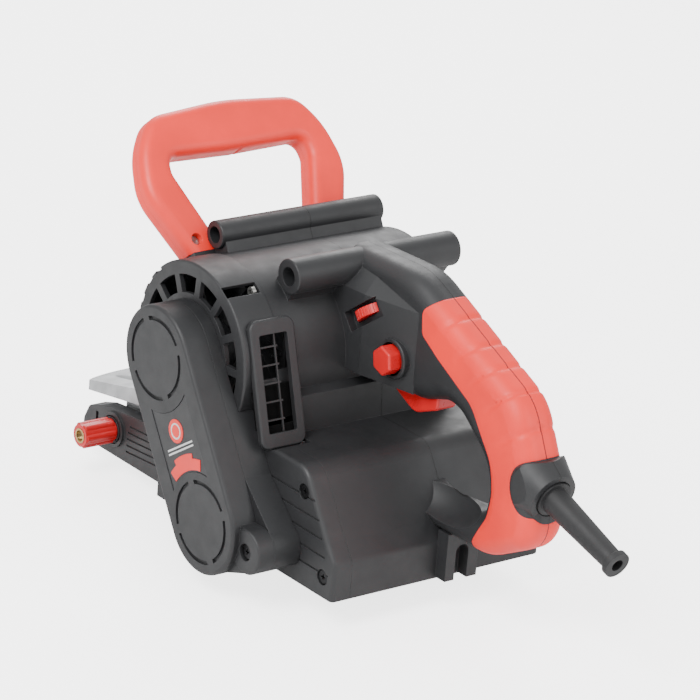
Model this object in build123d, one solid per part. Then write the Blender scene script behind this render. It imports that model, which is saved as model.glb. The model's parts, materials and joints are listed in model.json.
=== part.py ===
from build123d import *
import math
import os

# Wall chaser: a transverse motor drives two diamond discs through a belt on the left side.
# Millimetres. +Z is up, +Y is forwards (cutting direction), +X points to the tool's right.
# The pieces are drawn from a datum on the handle's mid-plane (X), the disc spindle's axis (Y) and the
# guard's lower rim (Z). On export they are moved so that the origin is on the sole's flat underside.

os.makedirs("parts", exist_ok=True)

# ---- layout -------------------------------------------------------------------------------
GAP = 0.1                       # clearance between neighbouring pieces
MOTOR_Y, MOTOR_Z = 62.5, 123.6  # motor axis, parallel to X
SPIN_Z = 28.6                   # spindle height above the guard's rim, at Y = 0
BELT_ANGLE = math.degrees(math.atan2(MOTOR_Z - SPIN_Z, MOTOR_Y))
BELT_LENGTH = math.hypot(MOTOR_Y, MOTOR_Z - SPIN_Z)

# ---- belt drive ---------------------------------------------------------------------------
X_COVER = -142.0                # outer face of the belt cover
X_SPLIT = -123.0                # joint between belt cover and belt housing
X_PANEL = -102.0                # outer face of the left guard panel
COVER_R = 36.3
COVER_WALL = 2.5
MOTOR_PULLEY_R = 13.5
SPINDLE_PULLEY_R = 29.0
BELT_X0, BELT_X1 = -134.0, -122.0
BELT_T = 2.6
EAR_Y, EAR_Z, EAR_R = -43.4, 23.0, 15.5
X_EAR = -136.4

# ---- motor --------------------------------------------------------------------------------
BARREL_R, BARREL_IN = 61.0, 58.0
SHIELD_R = 62.5
X_SHIELD0, X_SHIELD1 = -114.0, -84.5
X_BARREL_END = 65.0
SHAFT_R = 6.0
BEARING_R, BEARING_W = 16.0, 10.0
RUN = 0.05                      # radial running clearance
STATOR_R, STATOR_IN = 46.0, 27.0
CORE_X0, CORE_X1 = -52.0, 6.0

# ---- guard and discs ----------------------------------------------------------------------
X_TRAY = -87.0                  # joint between left panel and left housing
X_RIGHT_SEAM, X_RIGHT = 60.0, 76.0
GUARD_REAR, GUARD_FRONT, GUARD_TOP = -95.0, 108.0, 82.0
GUARD_WALL = 2.3
PANEL_SCREWS = ((-57, 65), (-83.2, 13.9), (98, 14), (98, 60))
DISC_R, DISC_T = 50.0, 2.0
LEFT_DISC_X, RIGHT_DISC_X = -30.0, -6.0

# ---- front tube, rear tube ----------------------------------------------------------------
TUBES = ((97.5, 189.6, 9.8, 5.9, -74.0, 64.0), (18.0, 185.1, 12.1, 6.7, -70.0, 68.0))

# ---- sole frame ---------------------------------------------------------------------------
HINGE_Y, HINGE_Z = 197.3, 11.6
SOLE_Z = -8.0
ORIGIN = (0.0, 100.0, SOLE_Z)
ARM_L0, ARM_L1 = -77.0, -65.0
ARM_R0, ARM_R1 = 39.0, 51.0
NOSE_X0, NOSE_X1 = -69.0, 43.0
ROLLER_YS = (160.0, -66.0)
ROLLER_Z = 0.6
ROLLER_AXLE_R = 3.0


def cyl(radius, x0, x1, y=0.0, z=0.0):
    """Cylinder along X."""
    return Pos((x0 + x1) / 2, y, z) * Rot(0, 90, 0) * Cylinder(radius, x1 - x0)


def ring(outer, inner, x0, x1, y=0.0, z=0.0):
    """Tube along X."""
    return cyl(outer, x0, x1, y, z) - cyl(inner, x0 - 1, x1 + 1, y, z)


def block(x0, x1, y0, y1, z0, z1):
    """Axis-aligned box from its limits."""
    return Pos((x0 + x1) / 2, (y0 + y1) / 2, (z0 + z1) / 2) * Box(x1 - x0, y1 - y0, z1 - z0)


def prism(sketch, x0, x1):
    """A (Y, Z) sketch extruded along X."""
    return extrude(Plane.YZ.offset(x0) * sketch, amount=x1 - x0, dir=(1, 0, 0))


def outline(points, radii=()):
    """Closed (Y, Z) polygon, either way round; radii lists (corner index, rounding)."""
    twice_area = sum(a[0] * b[1] - b[0] * a[1] for a, b in zip(points, points[1:] + points[:1]))
    face = Polygon(*points[::int(math.copysign(1, twice_area))], align=None)
    for index, radius in radii:
        y, z = points[index]
        corner = face.vertices().sort_by_distance(Vector(y, z, 0))[0]
        face = fillet(corner, radius)
    return face


def stadium(radius):
    """The belt drive's outline around both pulleys."""
    middle = Pos(MOTOR_Y / 2, (MOTOR_Z + SPIN_Z) / 2)
    return middle * Rot(0, 0, BELT_ANGLE) * SlotCenterToCenter(BELT_LENGTH, 2 * radius)


def bearing(x0, y, z):
    """Deep-groove ball bearing with a recess between its races on each side."""
    body = ring(BEARING_R, SHAFT_R + RUN, x0, x0 + BEARING_W, y, z)
    for x in (x0 - 1, x0 + BEARING_W - 0.8):
        body -= ring(BEARING_R - 3, SHAFT_R + 3, x, x + 1.8, y, z)
    return body


def screw_x(x_head, x_tip, y, z, head_r=3.6, shank_r=1.9):
    """Pan-head screw along X with a cross recess in the head."""
    step = math.copysign(1, x_tip - x_head)
    x_neck = x_head + 2.6 * step
    screw = cyl(head_r, min(x_head, x_neck), max(x_head, x_neck), y, z)
    screw += cyl(shank_r, min(x_neck, x_tip), max(x_neck, x_tip), y, z)
    for dy, dz in ((4.2, 1.0), (1.0, 4.2)):
        screw -= Pos(x_head, y, z) * Box(3.0, dy, dz)
    return screw


# ---- belt housing -------------------------------------------------------------------------
def arc_slots(y, z):
    """Four arc grooves around a pulley's centre, in the cover's face."""
    band = ring(28.7, 25.9, X_COVER - 1, X_COVER + 1.8, y, z)
    for angle in (60, 150, 240, 330):
        spoke = Rot(angle, 0, 0) * Pos(0, 28, 0) * Box(8, 16, 6.5)
        band -= Pos(X_COVER, y, z) * spoke
    return band


def badge_outline(inset):
    """Recessed field between the two round faces."""
    field = stadium(21.5 - inset)
    field -= Pos(MOTOR_Y, MOTOR_Z) * Circle(37 + inset)
    return field - Pos(0, SPIN_Z) * Circle(34 + inset)


def belt_cover():
    shell = prism(stadium(COVER_R), X_COVER, X_SPLIT - GAP)
    shell = fillet(shell.faces().sort_by(Axis.X)[0].edges(), 2.4)
    shell -= prism(stadium(COVER_R - COVER_WALL), X_COVER + COVER_WALL, X_SPLIT)
    ear = cyl(EAR_R, X_EAR, X_SPLIT - GAP, EAR_Y, EAR_Z)
    ear = fillet(ear.faces().sort_by(Axis.X)[0].edges(), 1.5)
    neck = outline(((EAR_Y, EAR_Z - EAR_R), (-4, -6.5), (-4, EAR_Z + EAR_R), (EAR_Y, EAR_Z + EAR_R)))
    ear += prism(neck, X_EAR + 1.0, X_SPLIT - GAP)
    shell += ear - cyl(COVER_R - 1, X_COVER, X_SPLIT, 0, SPIN_Z) - prism(stadium(COVER_R - 1), X_COVER, X_SPLIT)
    shell -= cyl(6.0, X_EAR - 1, X_EAR + 4.5, EAR_Y, EAR_Z)
    shell -= cyl(2.3, X_EAR, X_SPLIT, EAR_Y, EAR_Z)
    shell -= arc_slots(MOTOR_Y, MOTOR_Z) + arc_slots(0, SPIN_Z)
    return shell - prism(badge_outline(0), X_COVER - 1, X_COVER + 1.2)


def badge_plate():
    return prism(badge_outline(0.15), X_COVER + 0.4, X_COVER + 1.2)


def belt_housing():
    body = prism(stadium(COVER_R), X_SPLIT, X_PANEL - GAP)
    body += cyl(EAR_R, X_SPLIT, X_PANEL - GAP, EAR_Y, EAR_Z)
    web = outline(((-43.4, 7.6), (-4, -6.5), (10, 40), (-18, 66), (-55, 33)))
    body += prism(web, X_SPLIT, X_PANEL - GAP)
    floor_x = X_SHIELD0 - 2.5
    room = prism(stadium(COVER_R - COVER_WALL), X_SPLIT - 1, X_PANEL + 1)
    floor = prism(stadium(COVER_R - COVER_WALL), floor_x, X_SHIELD0 - GAP)
    floor += ring(26, 10, X_SHIELD0 - 1, X_PANEL - GAP, 0, SPIN_Z)
    body = body - room + floor
    body -= cyl(10, X_SPLIT, X_SHIELD0 + 1, MOTOR_Y, MOTOR_Z)
    body -= cyl(22 + RUN, floor_x - 1, X_PANEL + 1, 0, SPIN_Z)
    body -= cyl(SHIELD_R + GAP, X_SHIELD0 - GAP, X_PANEL + 1, MOTOR_Y, MOTOR_Z)
    return body - cyl(2.0, X_SPLIT - 1, X_PANEL + 1, EAR_Y, EAR_Z)


def belt_run():
    """Poly-V belt: a flat loop just outside both pulleys."""
    hull = []
    for grow in (BELT_T, 0):
        small = (Pos(MOTOR_Y, MOTOR_Z) * Circle(MOTOR_PULLEY_R + RUN + grow)).edges()
        large = (Pos(0, SPIN_Z) * Circle(SPINDLE_PULLEY_R + RUN + grow)).edges()
        hull.append(make_hull(small + large))
    return prism(hull[0] - hull[1], BELT_X0 + 0.5, BELT_X1 - 0.5)


def pulley(radius, y, z, groove=0.9):
    """Ribbed pulley on a shaft end: two rims and a grooved band between them."""
    body = cyl(radius, BELT_X0, BELT_X1, y, z)
    pitch = (BELT_X1 - BELT_X0) / 6
    for i in range(5):
        x = BELT_X0 + pitch * (i + 1)
        body -= ring(radius + 1, radius - groove, x - 0.5, x + 0.5, y, z)
    return body - cyl(SHAFT_R, BELT_X0 - 1, BELT_X1 + 1, y, z)


# ---- motor --------------------------------------------------------------------------------
def end_shield():
    """Vented cup that carries the left motor bearing."""
    cup = cyl(SHIELD_R, X_SHIELD0, X_SHIELD1 - GAP, MOTOR_Y, MOTOR_Z)
    cup = fillet(cup.faces().sort_by(Axis.X)[0].edges(), 1.5)
    cup -= cyl(SHIELD_R - 3, X_SHIELD0 + 3.5, X_SHIELD1, MOTOR_Y, MOTOR_Z)
    cup += ring(BEARING_R + 3, BEARING_R, X_SHIELD0 + 3, -90, MOTOR_Y, MOTOR_Z)
    cup -= cyl(10, X_SHIELD0 - 1, X_SHIELD0 + 4, MOTOR_Y, MOTOR_Z)
    vents = ring(53, 40.5, X_SHIELD0 - 1, X_SHIELD0 + 5, MOTOR_Y, MOTOR_Z)
    count = 13
    for i in range(count):
        spoke = Rot(11.5 + 360 / count * i, 0, 0) * Pos(0, 46, 0) * Box(16, 20, 5.5)
        vents -= Pos(X_SHIELD0, MOTOR_Y, MOTOR_Z) * spoke
    cup -= vents
    for angle, depth in ((18, 2.2), (33, 2.0), (46, 2.2)):
        notch = Rot(angle, 0, 0) * Pos(0, SHIELD_R, 0) * Box(15, depth * 2, 8)
        cup -= Pos(X_SHIELD0 + 3, MOTOR_Y, MOTOR_Z) * notch
    return cup - screw_channel() - dust_recess()


def screw_channel(grow=0.0):
    """Access groove along the shield's rear top, with the shield's fixing screw at its end."""
    groove = Rot(122, 0, 0) * Pos(0, 62, 0) * Box(27 + grow, 13 + grow, 9 + grow)
    return Pos(-100, MOTOR_Y, MOTOR_Z) * groove


def shield_screw():
    y = MOTOR_Y + 58.5 * math.cos(math.radians(122))
    z = MOTOR_Z + 58.5 * math.sin(math.radians(122))
    return screw_x(-90.6, -86.55, y, z, 3.4, 1.6)


def stator_core():
    core = ring(STATOR_R, STATOR_IN, CORE_X0, CORE_X1, MOTOR_Y, MOTOR_Z)
    for side in (-1, 1):
        z = MOTOR_Z + side * 52
        core -= block(CORE_X0 - 1, CORE_X1 + 1, MOTOR_Y - 20, MOTOR_Y + 20, z - 9, z + 9)
        slot_y = MOTOR_Y + side * 34
        core -= block(CORE_X0 - 1, CORE_X1 + 1, slot_y - 5, slot_y + 5, MOTOR_Z - 15, MOTOR_Z + 15)
    return core


def stator_windings():
    """Two field coils: each runs along the core's slots and turns back outside both ends."""
    coils = Part()
    for x0, x1 in ((CORE_X0 - 11, CORE_X0 - GAP), (CORE_X1 + GAP, CORE_X1 + 10)):
        end = ring(41, 29, x0, x1, MOTOR_Y, MOTOR_Z)
        coils += end
    for side in (-1, 1):
        slot_y = MOTOR_Y + side * 34
        coils += block(CORE_X0 - 5, CORE_X1 + 5, slot_y - 4.6, slot_y + 4.6, MOTOR_Z - 14.6, MOTOR_Z + 14.6)
    return coils


def armature_shaft():
    shaft = cyl(SHAFT_R, BELT_X0 - 4, 54, MOTOR_Y, MOTOR_Z)
    return chamfer(shaft.faces().sort_by(Axis.X)[0].edges(), 0.8)


def armature_core():
    core = ring(STATOR_IN - 0.8, SHAFT_R, CORE_X0, CORE_X1, MOTOR_Y, MOTOR_Z)
    for i in range(12):
        slot = Rot(30 * i, 0, 0) * Pos(0, STATOR_IN - 3, 0) * Box(70, 8, 2.2)
        core -= Pos((CORE_X0 + CORE_X1) / 2, MOTOR_Y, MOTOR_Z) * slot
    return core


def commutator():
    body = ring(15, SHAFT_R, 18, 36, MOTOR_Y, MOTOR_Z)
    for i in range(24):
        slot = Rot(15 * i, 0, 0) * Pos(0, 15, 0) * Box(20, 2.0, 0.6)
        body -= Pos(27, MOTOR_Y, MOTOR_Z) * slot
    return body


def cooling_fan():
    """Radial fan between the left bearing and the armature."""
    fan = ring(50, SHAFT_R, -72, -69.5, MOTOR_Y, MOTOR_Z)
    fan += ring(12, SHAFT_R, -84, -69.5, MOTOR_Y, MOTOR_Z)
    for i in range(11):
        blade = Rot(360 / 11 * i, 0, 0) * Pos(0, 35, 0) * Rot(28, 0, 0) * Box(9, 26, 1.8)
        fan += Pos(-76.5, MOTOR_Y, MOTOR_Z) * blade
    return fan


def brush_parts():
    """Brush holders, brushes and their springs, front and rear of the commutator."""
    holders, brushes, springs = Part(), Part(), Part()
    for side in (-1, 1):
        def along(r0, r1, half_x, half_z):
            y0, y1 = sorted((MOTOR_Y + side * r0, MOTOR_Y + side * r1))
            return block(27 - half_x, 27 + half_x, y0, y1, MOTOR_Z - half_z, MOTOR_Z + half_z)
        holders += along(18, 46, 7, 6) - along(17, 44, 5 + RUN, 4 + RUN)
        brushes += along(15 + RUN, 32, 5, 4)
        springs += along(32 + RUN, 44 - RUN, 3, 3) - along(30, 45, 2, 2)
    return holders, brushes, springs


# ---- spindle ------------------------------------------------------------------------------
def bearing_block():
    """Flanged tube that carries both spindle bearings."""
    body = cyl(22, -113.8, -62, 0, SPIN_Z)
    body -= cyl(11, -115, -61, 0, SPIN_Z)
    body -= cyl(BEARING_R, -115, -103.8, 0, SPIN_Z)
    return body - cyl(BEARING_R, -73, -61, 0, SPIN_Z)


def spindle_shaft():
    shaft = cyl(SHAFT_R, BELT_X0 - 4, 9, 0, SPIN_Z)
    shaft += cyl(9, -102, -76, 0, SPIN_Z) + cyl(10, -61, -38, 0, SPIN_Z)
    shaft += cyl(9.95, -38, -3, 0, SPIN_Z)
    return chamfer(shaft.faces().sort_by(Axis.X)[0].edges(), 0.8)


def disc(x0):
    """Segmented diamond disc with a cooling slot between neighbouring segments."""
    body = ring(DISC_R - 7, 10.0, x0 + 0.3, x0 + DISC_T - 0.3, 0, SPIN_Z)
    body += ring(DISC_R, DISC_R - 8, x0, x0 + DISC_T, 0, SPIN_Z)
    for i in range(9):
        slot = Rot(40 * i, 0, 0) * Pos(0, DISC_R - 4, 0) * Box(8, 13, 1.8)
        body -= Pos(x0, 0, SPIN_Z) * slot
        hole = Rot(40 * i, 0, 0) * Pos(0, DISC_R - 11, 0) * Rot(0, 90, 0) * Cylinder(2.2, 8)
        body -= Pos(x0, 0, SPIN_Z) * hole
    return body


def spacer_rings():
    """Loose rings that set the width of the cut."""
    stack = Part()
    x = LEFT_DISC_X + DISC_T + 0.02
    for width in (4, 6, 6, 5.9):
        piece = ring(18, 10.0, x, x + width - 0.02, 0, SPIN_Z)
        stack += chamfer(piece.edges().filter_by(GeomType.CIRCLE).sort_by(SortBy.RADIUS)[-2:], 0.4)
        x += width
    return stack


def clamp_nut():
    nut = ring(20, SHAFT_R + 0.02, -3, 5, 0, SPIN_Z)
    nut = chamfer(nut.edges().filter_by(GeomType.CIRCLE).sort_by(SortBy.RADIUS)[-2:], 1.0)
    for i in range(4):
        hole = Rot(90 * i + 45, 0, 0) * Pos(0, 14, 0) * Rot(0, 90, 0) * Cylinder(2.3, 8)
        nut -= Pos(6, 0, SPIN_Z) * hole
    return nut


# ---- guard --------------------------------------------------------------------------------
def guard_outline(inset=0.0, bottom=0.0):
    """Side outline of the disc guard; its slanted rear corner is rounded."""
    points = (
        (GUARD_REAR + inset, bottom),
        (GUARD_REAR + inset, 26),
        (-86 + inset, 38),
        (-57 + inset * 0.7, GUARD_TOP - inset),
        (60, GUARD_TOP - inset),
        (GUARD_FRONT - inset, 74),
        (GUARD_FRONT - inset, bottom),
    )
    return outline(points, ((1, 8), (2, 14), (3, 16)))


def step_outline():
    """The wall that joins the guard's top to the motor barrel."""
    return outline(((-6, 80), (-3.5, 107), (30, 123), (60, 123), (60, 80)))


def left_guard_panel():
    panel = prism(guard_outline(), X_PANEL, X_TRAY - GAP)
    panel = fillet(panel.faces().sort_by(Axis.X)[0].edges().filter_by(lambda e: e.center().Z > 1), 3.0)
    panel -= prism(guard_outline(2.6, -1), X_PANEL + 3, X_TRAY)
    panel -= cyl(22 + RUN, X_PANEL - 1, X_TRAY, 0, SPIN_Z)
    panel -= cyl(SHIELD_R + 0.5, X_PANEL - 1, X_TRAY, MOTOR_Y, MOTOR_Z)
    panel -= block(-99, X_TRAY, -9, 6, 70, 90) + dust_recess()
    for i in range(5):
        z = 16 + 11.5 * i
        panel -= block(X_PANEL - 1, X_PANEL + 0.9, -89 + 4.6 * i, -20, z, z + 1.3)
    for y, z in PANEL_SCREWS[:2]:
        panel += cyl(6.6, X_PANEL + 2, X_TRAY - GAP, y, z)
        panel -= cyl(5.4, X_PANEL - 1, X_PANEL + 3.5, y, z)
        panel -= cyl(2.0, X_PANEL, X_TRAY, y, z)
    return panel


def right_guard_cover():
    cover = prism(guard_outline(), X_RIGHT_SEAM + GAP, X_RIGHT)
    cover = fillet(cover.faces().sort_by(Axis.X)[-1].edges().filter_by(lambda e: e.center().Z > 1), 5.0)
    cover -= prism(guard_outline(2.6, -1), X_RIGHT_SEAM, X_RIGHT - 3)
    cover -= cyl(BARREL_R + GAP, X_RIGHT_SEAM - 1, X_BARREL_END + GAP, MOTOR_Y, MOTOR_Z)
    for y, z in PANEL_SCREWS:
        cover += cyl(6.0, X_RIGHT_SEAM + GAP, X_RIGHT - 2, y, z)
        cover -= cyl(4.6, X_RIGHT - 4, X_RIGHT + 1, y, z)
        cover -= cyl(2.0, X_RIGHT_SEAM, X_RIGHT, y, z)
    for i in range(6):
        cover -= block(X_RIGHT - 4, X_RIGHT + 1, -40 + 14 * i, -34 + 14 * i, 30, 58)
    return cover


# ---- handle loop --------------------------------------------------------------------------
HANDLE_HALF = 17.5
HANDLE_POINTS = (
    (24, 198), (-45, 200), (-160, 148.2), (-183, 101), (-186, 56), (-142, 33), (-72, 33),
    (-72, 60), (-134, 60), (-141, 92), (-96, 127), (-62, 115), (24, 112),
)
HANDLE_RADII = ((1, 60), (2, 40), (3, 40), (4, 24), (5, 40), (8, 10), (9, 34), (10, 30), (11, 30))
RIM = 12.5                      # rounding of the handle's edges
SKIN = 2.4                      # thickness of the soft grip
SHELL = 5.4                     # depth of the handle's hollow below its outer surface


def handle_body(inset=0.0):
    """Rear handle from the barrel round to the guard, shrunk evenly by inset."""
    face = outline(HANDLE_POINTS, HANDLE_RADII)
    if inset:
        face = offset(face, -inset)
    half_width = HANDLE_HALF - inset
    body = prism(face, -half_width, half_width)
    rim = body.edges().filter_by(lambda e: abs(abs(e.center().X) - half_width) < 0.01)
    rim = rim.filter_by(lambda e: e.center().Y < 22 - inset and abs(e.center().Y + 72 - inset) > 1)
    return fillet(rim, RIM - 1.05 * inset)


def handle_root():
    """Widening that joins the handle to the motor barrel."""
    plan = Polygon((-31, 24), (-28, -12), (-17.3, -58), (17.3, -58), (28, -12), (31, 24), align=None)
    root = extrude(Plane.XY.offset(119) * plan, amount=70)
    return chamfer(root.faces().sort_by(Axis.Z)[-1].edges().filter_by(lambda e: abs(e.center().X) > 5), 13)


def grip_region():
    """Side outline of the soft grip; a black strip stays along the fingers' side."""
    points = (
        (-95, 212), (-60, 179), (-62, 163), (-80, 152), (-118, 132.5), (-142, 101), (-145.5, 80),
        (-142, 62), (-130.5, 41), (-128, 20), (-235, 20), (-235, 212),
    )
    return outline(points, ((1, 9), (2, 6), (4, 25), (5, 25), (6, 25), (7, 12)))


CABLE_BORE_R = 4.3
BOSS_Y, BOSS_Z, BOSS_R = -182.0, 95.5, 18.5
BOSS_END = 3.0                  # the boss's flat end, along the cable's axis


def cable_axis(distance):
    """A point (Y, Z) on the cable outlet's axis."""
    slope = math.radians(17.5)
    return -184 - distance * math.cos(slope), 91 - distance * math.sin(slope)


def along_cable(radius0, radius1, d0, d1):
    """Cone or cylinder on the cable outlet's axis between two distances."""
    (y0, z0), (y1, z1) = cable_axis(d0), cable_axis(d1)
    start = Plane(origin=(0, y0, z0), z_dir=(0, y1 - y0, z1 - z0))
    if radius0 == radius1:
        return extrude(start * Circle(radius0), amount=d1 - d0)
    end = Plane(origin=(0, y1, z1), z_dir=(0, y1 - y0, z1 - z0))
    return loft([start * Circle(radius0), end * Circle(radius1)])


def cable_boss():
    """Black boss around the cable outlet, with a round start in the handle."""
    drum = cyl(BOSS_R, -19.5, 19.5, BOSS_Y, BOSS_Z)
    drum = fillet(drum.edges().filter_by(GeomType.CIRCLE), 3)
    return drum & along_cable(27, 17.6, -24, BOSS_END)


def soft_grip(body, core):
    skin = (body - core) & prism(grip_region(), -40, 40)
    return skin - cyl(BOSS_R + 0.7, -40, 40, BOSS_Y, BOSS_Z) - along_cable(18.4, 18.4, -3, 30)


def half(shape, side):
    """The part of a shape left (-1) or right (+1) of the handle's mid-plane."""
    x0, x1 = ((-300, -0.03), (0.03, 300))[side > 0]
    return shape & block(x0, x1, -400, 400, -200, 400)


# ---- trigger, buttons and dial ------------------------------------------------------------
TRIGGER_PIVOT = (-27.0, 122.0)
TRIGGER_POINTS = ((-20, 121), (-26, 112), (-50, 101.5), (-73, 111), (-74, 122), (-60, 129), (-27, 129))
DIAL_CENTRE = (-16.0, -10.0, 162.0)
DIAL_TILT = -37.0
LOCK_Y, LOCK_Z = -39.3, 138.7
LOCK_HEAD_R = 10.5


def trigger_profile(grow=0.0):
    face = outline(TRIGGER_POINTS, ((1, 4), (2, 12), (3, 5)))
    return offset(face, grow) if grow else face


def trigger():
    body = prism(trigger_profile(), -8.5, 8.5)
    body = fillet(body.edges().filter_by(lambda e: e.center().Z < 116 and abs(e.center().X) > 8), 1.6)
    body -= prism(offset(trigger_profile(), -3.0), -6, 6) & block(-6, 6, -100, 0, 112, 140)
    return body - cyl(2.0 + RUN, -10, 10, *TRIGGER_PIVOT)


def trigger_room():
    """The pocket the trigger swings in."""
    pocket = outline(((-15, 121), (-25.5, 110), (-50, 99), (-76, 108), (-79, 128), (-60, 138), (-26, 130.5)))
    return prism(pocket, -9.1, 9.1)


def dial_frame():
    return Pos(*DIAL_CENTRE) * Rot(DIAL_TILT, 0, 0)


def speed_dial():
    """Thumbwheel with a ribbed rim, on a pin across the handle's root."""
    wheel = dial_frame() * (Cylinder(13.6, 6.4) - Cylinder(2 + RUN, 8))
    for i in range(28):
        groove = Rot(0, 0, 360 / 28 * i) * Pos(13.8, 0, 0) * Box(1.4, 1.1, 8)
        wheel -= dial_frame() * groove
    return wheel


def dial_room():
    """Diamond recess and wheel slot in the handle root's left side."""
    slot = dial_frame() * Cylinder(14.4, 7.4)
    bevel = Pos(-27.5, -11, 161.5) * Rot(DIAL_TILT, 0, 0) * Box(9, 33, 14)
    return slot + bevel + dial_frame() * Cylinder(2.02, 12.6)


def lock_button():
    face = fillet(RegularPolygon(LOCK_HEAD_R, 6).vertices(), 2.5)
    head = prism(Pos(LOCK_Y, LOCK_Z) * Rot(0, 0, 20) * face, -32, -21)
    head = fillet(head.faces().sort_by(Axis.X)[0].edges(), 1.6)
    return head + cyl(5.0, -21.5, -10, LOCK_Y, LOCK_Z)


def rear_boss():
    """Raised collar around the lock-off button."""
    collar = cyl(LOCK_HEAD_R + 3.6, -23.5, -8, LOCK_Y, LOCK_Z)
    return fillet(collar.faces().sort_by(Axis.X)[0].edges(), 1.2)


# ---- main housings ------------------------------------------------------------------------
def tubes(side):
    """The two long bolt tubes across the barrel, each on a web."""
    shape = Part()
    for y, z, outer, _, x0, x1 in TUBES:
        tube = cyl(outer, x0, x1, y, z)
        shape += fillet(tube.edges().filter_by(GeomType.CIRCLE), 1.0)
        angle = math.degrees(math.atan2(z - MOTOR_Z, y - MOTOR_Y))
        web = Rot(angle, 0, 0) * Pos(0, 66, 0) * Box(x1 - x0 - 5, 20, outer * 1.5)
        shape += Pos((x0 + x1) / 2, MOTOR_Y, MOTOR_Z) * web
    return half(shape, side)


def tube_bores():
    """Deep openings at the tubes' ends and the bolt holes between them."""
    bores = Part()
    for y, z, _, bore, x0, x1 in TUBES:
        bores += cyl(bore, x0 - 1, -27, y, z) + cyl(bore, 34, x1 + 1, y, z)
        bores += cyl(4.6, -28, -22, y, z) + cyl(2.1, -23, 35, y, z)
    return bores


def finger_bowls():
    """Hollows on both sides of the ridge where the handle's lower end meets the guard."""
    bowls = Part()
    for x in (-26, 26):
        bowls += Pos(x, -97, 66) * scale(Sphere(1), by=(27, 43, 25))
    return bowls


def rear_ribs():
    """Two upright ribs on the guard's rear wall, joined by an arch below the handle."""
    plate = block(-15, 12, -105, GUARD_REAR + 1, 1, 35)
    x0, x1, crown = -7.3, 3.5, 20.5
    arch = Pos((x0 + x1) / 2, -101, crown) * Rot(90, 0, 0) * Cylinder((x1 - x0) / 2, 11)
    return plate - arch - block(x0, x1, -106, GUARD_REAR - 0.5, 0, crown)


def stator_seats():
    """Lengthwise lands that hold the motor's stator in the barrel."""
    lands = Part()
    for angle in (45, 135, 225, 315):
        land = Rot(angle, 0, 0) * Pos(0, (STATOR_R + BARREL_IN) / 2 + 0.5, 0) * Box(56, BARREL_IN - STATOR_R + 0.9, 7)
        lands += Pos(-23, MOTOR_Y, MOTOR_Z) * land
    return lands


def housing(side):
    """One half of the main clamshell: motor barrel, guard middle and rear handle."""
    x0, x1 = ((X_TRAY, 0.0), (0.0, X_RIGHT_SEAM))[side > 0]
    barrel_x0, barrel_x1 = ((X_SHIELD1, 0.0), (0.0, X_BARREL_END))[side > 0]
    body = handle_body()
    barrel = cyl(BARREL_R, barrel_x0, barrel_x1, MOTOR_Y, MOTOR_Z)
    if side > 0:
        barrel = fillet(barrel.faces().sort_by(Axis.X)[-1].edges(), 6)
    shape = barrel + prism(guard_outline(), x0, x1) + prism(step_outline(), max(x0, -70), x1)
    shape += half(handle_root(), side) + half(body - finger_bowls(), side)
    shape += half(cable_boss(), side)
    shape += tubes(side) + half(rear_ribs(), side)
    if side < 0:
        shape += rear_boss()
    shape -= soft_grip(body, handle_body(SKIN))
    shape -= (handle_body(SHELL) & block(-40, 40, -400, 6, 0, 400)) - block(-40, 40, -142, 0, 0, 75)
    shape -= along_cable(8.2, 8.2, -60, 30) + along_cable(13.4, 13.4, BOSS_END - 2, 30)
    shape -= cyl(BARREL_IN, X_SHIELD1 - 5, X_BARREL_END - 3, MOTOR_Y, MOTOR_Z)
    inside = prism(guard_outline(GUARD_WALL, -5), -100, 100)
    shape -= inside - cyl(BARREL_R, -200, 200, MOTOR_Y, MOTOR_Z)
    shape += half(stator_seats(), side)
    shape -= tube_bores() + trigger_room()
    if side < 0:
        shape -= cyl(SHIELD_R + GAP, -120, X_SHIELD1, MOTOR_Y, MOTOR_Z)
        shape -= dust_recess()
        shape -= dial_room()
        shape -= cyl(5.15, -40, -5, LOCK_Y, LOCK_Z) + cyl(LOCK_HEAD_R + 1, -40, -16.8, LOCK_Y, LOCK_Z)
        shape -= block(X_TRAY - 1, -77, -9, 6, 70, 90)
    else:
        shape += ring(BEARING_R + 3, BEARING_R, 42, X_BARREL_END - 2, MOTOR_Y, MOTOR_Z)
        shape -= exhaust_slots()
    for arm_x0, arm_x1 in ((ARM_L0, ARM_L1), (ARM_R0, ARM_R1)):
        shape -= block(arm_x0 - 1.5, arm_x1 + 1.5, GUARD_FRONT - 5, GUARD_FRONT + 1, -20, 36)
    return half(shape, side)


def exhaust_slots():
    """Air outlets in the barrel's right end."""
    slots = ring(52, 26, X_BARREL_END - 5, X_BARREL_END + 1, MOTOR_Y, MOTOR_Z)
    for i in range(16):
        spoke = Rot(22.5 * i, 0, 0) * Pos(0, 40, 0) * Box(20, 40, 5)
        slots -= Pos(X_BARREL_END, MOTOR_Y, MOTOR_Z) * spoke
    return slots


def housing_bolts():
    bolts = [screw_x(-24.7, 30, y, z, 4.4, 2.05) for y, z, *_ in TUBES]
    return bolts[0] + bolts[1]


def cover_screws():
    """Screws of the belt cover, left guard panel and right guard cover."""
    screws = screw_x(X_EAR + 1.8, X_PANEL - 3, EAR_Y, EAR_Z, 5.0)
    for y, z in PANEL_SCREWS[:2]:
        screws += screw_x(X_PANEL + 0.9, X_TRAY - 2, y, z, 4.6, 1.95)
    for y, z in PANEL_SCREWS:
        screws += screw_x(X_RIGHT - 1.4, X_RIGHT_SEAM + 2, y, z, 4.2, 1.95)
    return screws


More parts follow.
